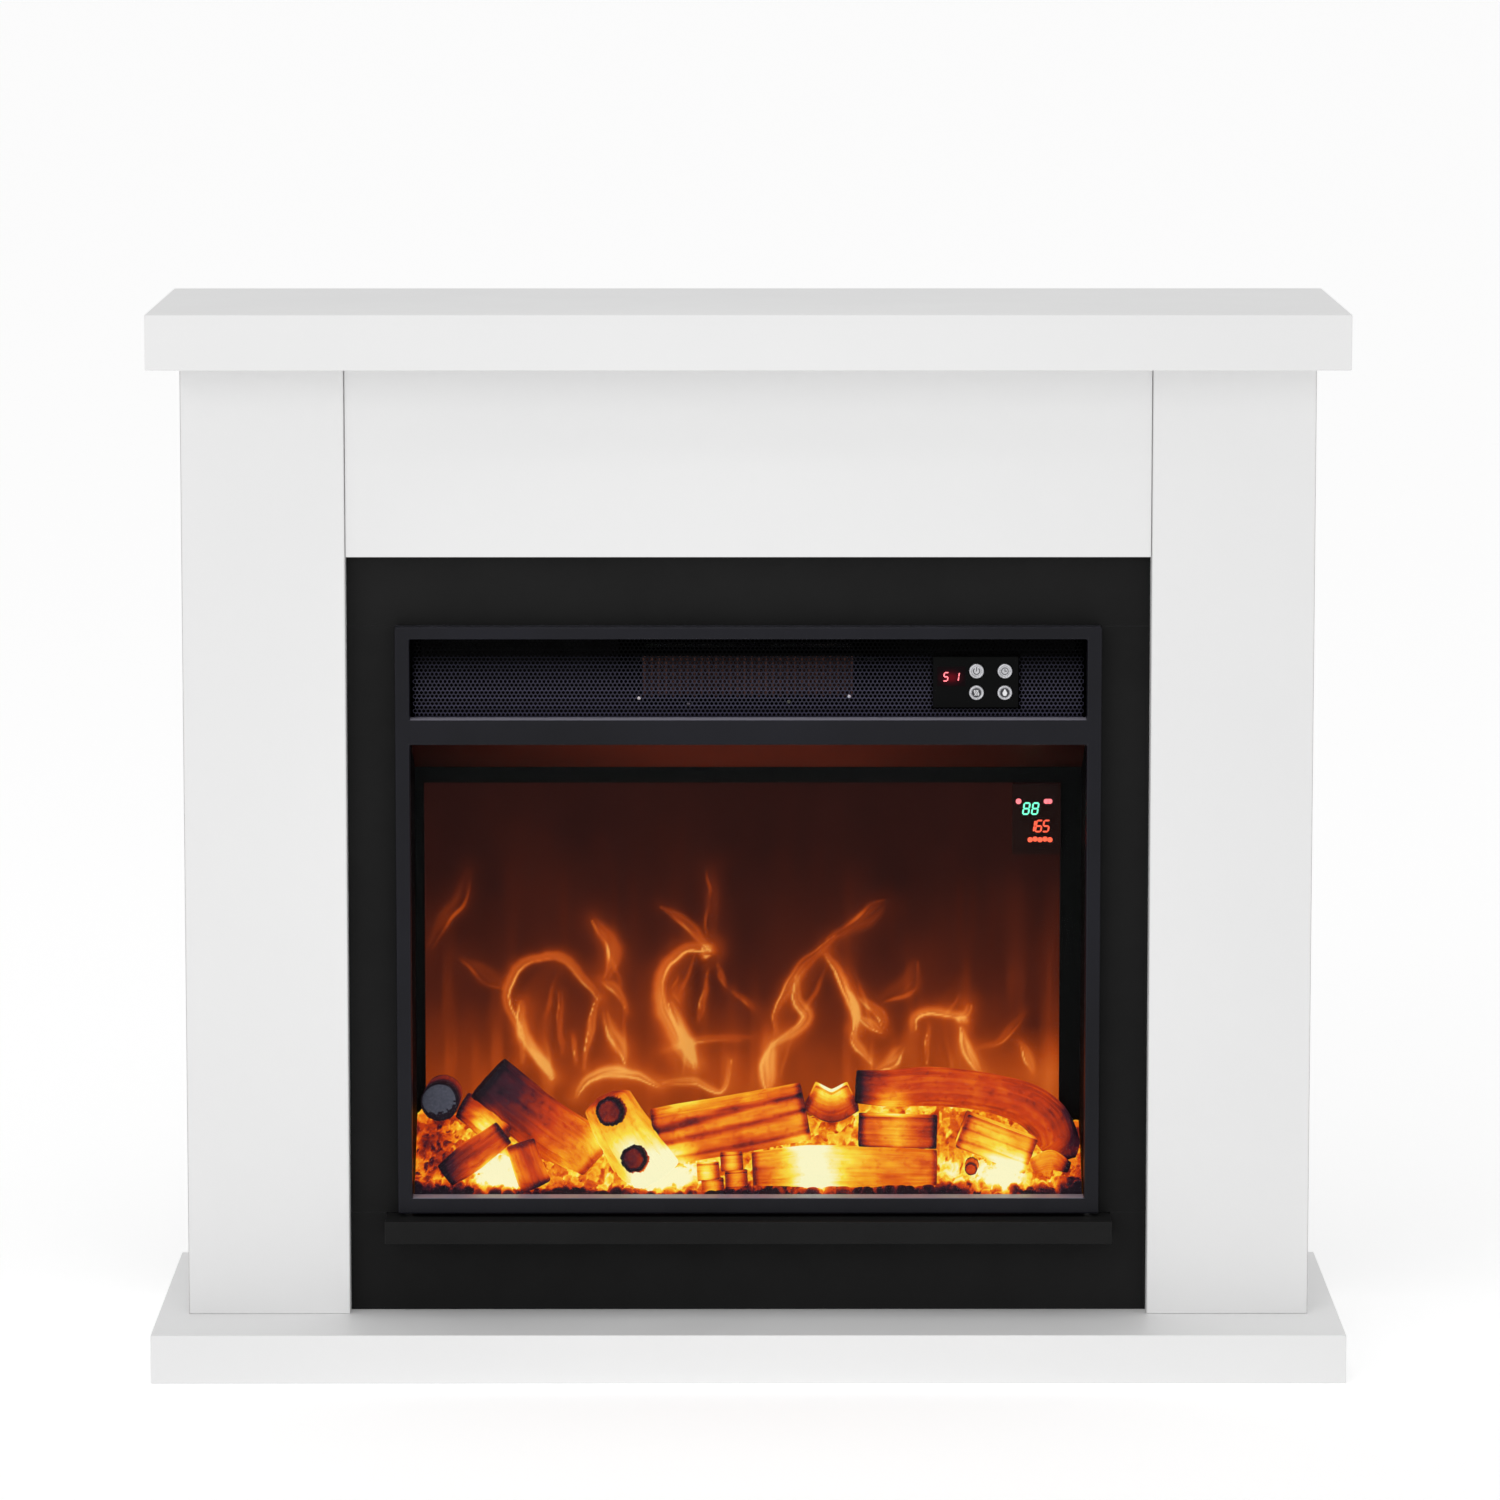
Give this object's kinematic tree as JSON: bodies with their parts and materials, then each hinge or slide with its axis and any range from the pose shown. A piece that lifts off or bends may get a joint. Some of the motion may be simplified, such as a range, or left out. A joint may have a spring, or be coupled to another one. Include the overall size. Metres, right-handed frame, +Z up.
{
  "type": "electric fireplace",
  "caption": "White mantel surround with a black electric insert: glass-fronted flame effect over moulded logs, warm-air outlet and press-button panel above.",
  "frame": {"origin": "centre of the plinth's footprint at floor level", "axes": "+Z up, -Y out of the front, +X to the viewer's right seen from the front; the wall plane is at Y = +0.165"},
  "size_m": [0.996, 0.33, 0.89],
  "materials": {
    "white_lacquer": "satin white lacquer on fibreboard",
    "raw_batten": "bare softwood batten",
    "black_board": "matte black foil on fibreboard",
    "bezel_paint": "satin near-black paint",
    "black_steel": "black powder coat",
    "galvanised_steel": "galvanised sheet",
    "clear_glass": "clear tempered glass",
    "flame_screen": "translucent screen lit from behind",
    "ember_resin": "moulded translucent resin, lit from below",
    "log_resin": "moulded painted resin logs",
    "polished_aluminium": "polished sheet",
    "black_plastic": "fine-textured black",
    "button_chrome": "bright plated",
    "circuit_board": "green circuit board",
    "heater_fins": "bare fins",
    "motor_steel": "plated laminations"
  },
  "bodies": {
    "fireplace": {"plinth": "white_lacquer", "mantel_shelf": "white_lacquer", "shelf_underside": "white_lacquer", "header_panel": "white_lacquer", "back_top_rail": "white_lacquer", "left_leg_front": "white_lacquer", "left_leg_side": "white_lacquer", "left_leg_return": "white_lacquer", "right_leg_front": "white_lacquer", "right_leg_side": "white_lacquer", "right_leg_return": "white_lacquer", "insert_shelf_rail": "raw_batten", "surround_top": "black_board", "surround_left": "black_board", "surround_right": "black_board", "surround_bottom": "black_board", "insert_shelf": "black_board", "bezel": "bezel_paint", "front_glass": "clear_glass", "outlet_grille": "black_steel", "casing_floor": "black_steel", "casing_left": "black_steel", "casing_right": "black_steel", "casing_top": "black_steel", "rear_cover": "black_steel", "firebox_ceiling": "black_steel", "screen_frame": "black_steel", "flame_screen": "flame_screen", "ember_bed": "ember_resin", "log_round_end": "log_resin", "log_charred": "log_resin", "log_stick": "log_resin", "log_branch": "log_resin", "log_split": "log_resin", "log_curved": "log_resin", "log_small": "log_resin", "log_tilted": "log_resin", "log_front": "log_resin", "flame_stencil": "polished_aluminium", "display_module": "black_plastic", "control_panel": "black_plastic", "rod_bearing": "black_plastic", "switch_housing": "black_plastic", "cable_gland": "black_plastic", "control_board": "circuit_board", "power_board": "circuit_board", "flame_led_bar": "circuit_board", "ember_led_board": "circuit_board", "heater_frame": "galvanised_steel", "fan_housing": "galvanised_steel", "heating_element": "heater_fins", "flame_motor": "motor_steel", "fan_motor": "motor_steel"},
    "button_power_body": {"button_power": "button_chrome"},
    "button_timer_body": {"button_timer": "button_chrome"},
    "button_heat_body": {"button_heat": "button_chrome"},
    "button_flame_body": {"button_flame": "button_chrome"},
    "fan_wheel_body": {"fan_wheel": "galvanised_steel"},
    "flame_rod_body": {"flame_rod": "polished_aluminium"},
    "power_rocker_body": {"power_rocker": "black_plastic"}
  },
  "joints": [
    {"name": "button_power_press", "type": "slide", "parent": "fireplace", "child": "button_power_body", "axis": [0, 1, 0], "range_m": [0, 0.0008], "stiffness_N_per_m": 300},
    {"name": "button_timer_press", "type": "slide", "parent": "fireplace", "child": "button_timer_body", "axis": [0, 1, 0], "range_m": [0, 0.0008], "stiffness_N_per_m": 300},
    {"name": "button_heat_press", "type": "slide", "parent": "fireplace", "child": "button_heat_body", "axis": [0, 1, 0], "range_m": [0, 0.0008], "stiffness_N_per_m": 300},
    {"name": "button_flame_press", "type": "slide", "parent": "fireplace", "child": "button_flame_body", "axis": [0, 1, 0], "range_m": [0, 0.0008], "stiffness_N_per_m": 300},
    {"name": "fan_wheel_spin", "type": "hinge", "parent": "fireplace", "child": "fan_wheel_body", "pos_m": [0, 0.075, 0.578], "axis": [1, 0, 0], "continuous": true},
    {"name": "flame_rod_spin", "type": "hinge", "parent": "fireplace", "child": "flame_rod_body", "pos_m": [0, 0.082, 0.19], "axis": [1, 0, 0], "continuous": true},
    {"name": "power_rocker_tilt", "type": "hinge", "parent": "fireplace", "child": "power_rocker_body", "pos_m": [-0.215, 0.1393, 0.17], "axis": [-1, 0, 0], "range_deg": [0, 14]}
  ]
}
